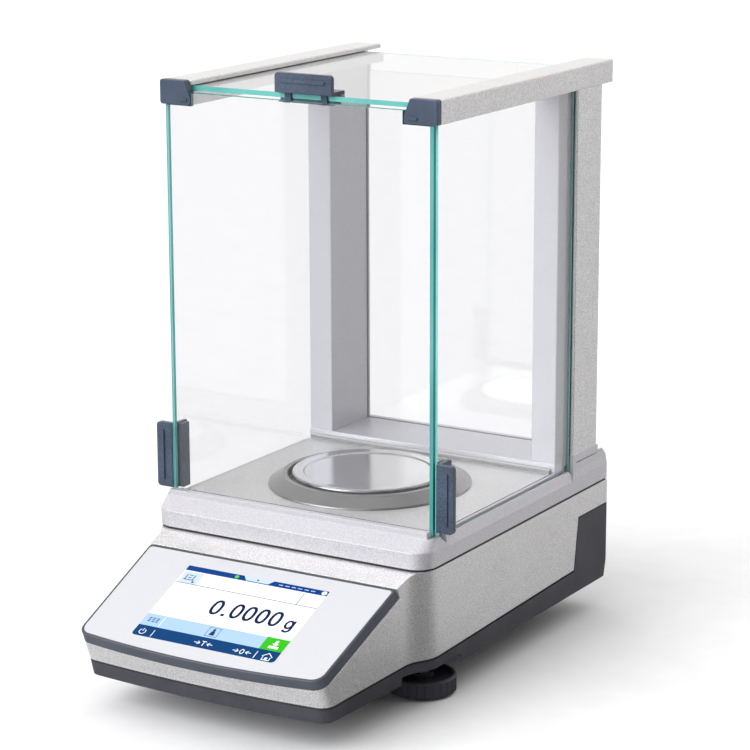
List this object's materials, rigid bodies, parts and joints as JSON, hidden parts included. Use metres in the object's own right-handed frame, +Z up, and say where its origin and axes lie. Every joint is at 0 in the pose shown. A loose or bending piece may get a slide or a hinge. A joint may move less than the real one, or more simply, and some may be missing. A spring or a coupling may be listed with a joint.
{
  "type": "analytical balance",
  "caption": "Bench balance with a sloped touch terminal and a glass weighing chamber whose side and top doors slide back around a round pan.",
  "frame": {"origin": "on the bench, under the middle of the balance's outer box", "axes": "+Z up, +Y towards the back of the balance, +X to the right of a person facing its terminal"},
  "size_m": [0.1982, 0.3207, 0.3486],
  "materials": {
    "painted_silver": "fine metallic powder coat, satin",
    "frame_paint": "fine metallic powder coat, satin",
    "dark_plastic": "fine moulded grain",
    "bezel_plastic": "fine moulded grain",
    "navy_plastic": "fine moulded grain",
    "clear_glass": "clear float glass with green polished edges",
    "panel_glass": "glossy white printed touch panel",
    "stainless": "satin stainless steel",
    "polished_steel": "polished stainless steel",
    "aluminium": "milled",
    "circuit_board": "solder mask",
    "steel": "zinc plated",
    "brass": "turned",
    "rubber": "matt",
    "black_plastic": "matt",
    "copper": "wound wire"
  },
  "bodies": {
    "root": {"bottom_housing": "dark_plastic", "upper_housing": "painted_silver", "terminal_bezel": "bezel_plastic", "touch_panel": "panel_glass", "display_module": "black_plastic", "display_board": "circuit_board", "main_board": "circuit_board", "connector_board": "circuit_board", "board_pillars": "steel", "dc_inlet": "black_plastic", "serial_port": "steel", "usb_ports": "steel", "hanger_cover": "dark_plastic", "rear_feet": "rubber", "base_seal": "rubber", "deck_seal": "rubber", "foot_bushes": "brass", "housing_screws": "steel", "cell_base": "aluminium", "weigh_cell": "aluminium", "cell_magnet": "steel", "lever_coil": "copper", "load_receptor": "polished_steel", "cell_screws": "steel", "draft_shield_frame": "frame_paint", "left_column": "painted_silver", "right_column": "painted_silver", "left_column_cover": "painted_silver", "right_column_cover": "painted_silver", "column_screws": "steel", "rear_glass": "clear_glass", "front_glass": "clear_glass", "left_top_rail": "painted_silver", "right_top_rail": "painted_silver", "left_rail_cap": "navy_plastic", "right_rail_cap": "navy_plastic"},
    "left_door": {"left_door_glass": "clear_glass", "left_door_handle": "navy_plastic", "left_door_clip": "navy_plastic"},
    "right_door": {"right_door_glass": "clear_glass", "right_door_handle": "navy_plastic", "right_door_clip": "navy_plastic"},
    "top_door": {"top_door_glass": "clear_glass", "top_door_handle": "navy_plastic", "top_door_clip": "navy_plastic"},
    "pan": {"weighing_pan": "polished_steel"},
    "plate": {"floor_plate": "stainless"},
    "ring": {"draft_ring": "stainless"},
    "left_pad": {"left_foot_pad": "rubber"},
    "left_wheel": {"left_foot_wheel": "dark_plastic", "left_foot_stud": "steel"},
    "right_pad": {"right_foot_pad": "rubber"},
    "right_wheel": {"right_foot_wheel": "dark_plastic", "right_foot_stud": "steel"}
  },
  "joints": [
    {"name": "left_door_slide", "type": "slide", "parent": "root", "child": "left_door", "axis": [0, 1, 0], "range_m": [0, 0.13]},
    {"name": "right_door_slide", "type": "slide", "parent": "root", "child": "right_door", "axis": [0, 1, 0], "range_m": [0, 0.13]},
    {"name": "top_door_slide", "type": "slide", "parent": "root", "child": "top_door", "axis": [0, 1, 0], "range_m": [0, 0.13]},
    {"name": "pan_lift", "type": "slide", "parent": "root", "child": "pan", "axis": [0, 0, 1], "range_m": [0, 0.06]},
    {"name": "plate_lift", "type": "slide", "parent": "root", "child": "plate", "axis": [0, 0, 1], "range_m": [0, 0.03]},
    {"name": "ring_lift", "type": "slide", "parent": "plate", "child": "ring", "axis": [0, 0, 1], "range_m": [0, 0.02]},
    {"name": "left_foot_travel", "type": "slide", "parent": "root", "child": "left_pad", "axis": [0, 0, 1], "range_m": [-0.003, 0.003]},
    {"name": "left_foot_turn", "type": "hinge", "parent": "left_pad", "child": "left_wheel", "pos_m": [-0.0695, -0.0335, 0.006], "axis": [0, 0, 1], "range_deg": [-1080.5, 1080.5]},
    {"name": "right_foot_travel", "type": "slide", "parent": "root", "child": "right_pad", "axis": [0, 0, 1], "range_m": [-0.003, 0.003]},
    {"name": "right_foot_turn", "type": "hinge", "parent": "right_pad", "child": "right_wheel", "pos_m": [0.0695, -0.0335, 0.006], "axis": [0, 0, 1], "range_deg": [-1080.5, 1080.5]}
  ],
  "couplings": [
    {"joint": "left_foot_turn", "follows": "left_foot_travel", "rad_per_m": 6283.2},
    {"joint": "right_foot_turn", "follows": "right_foot_travel", "rad_per_m": 6283.2}
  ]
}
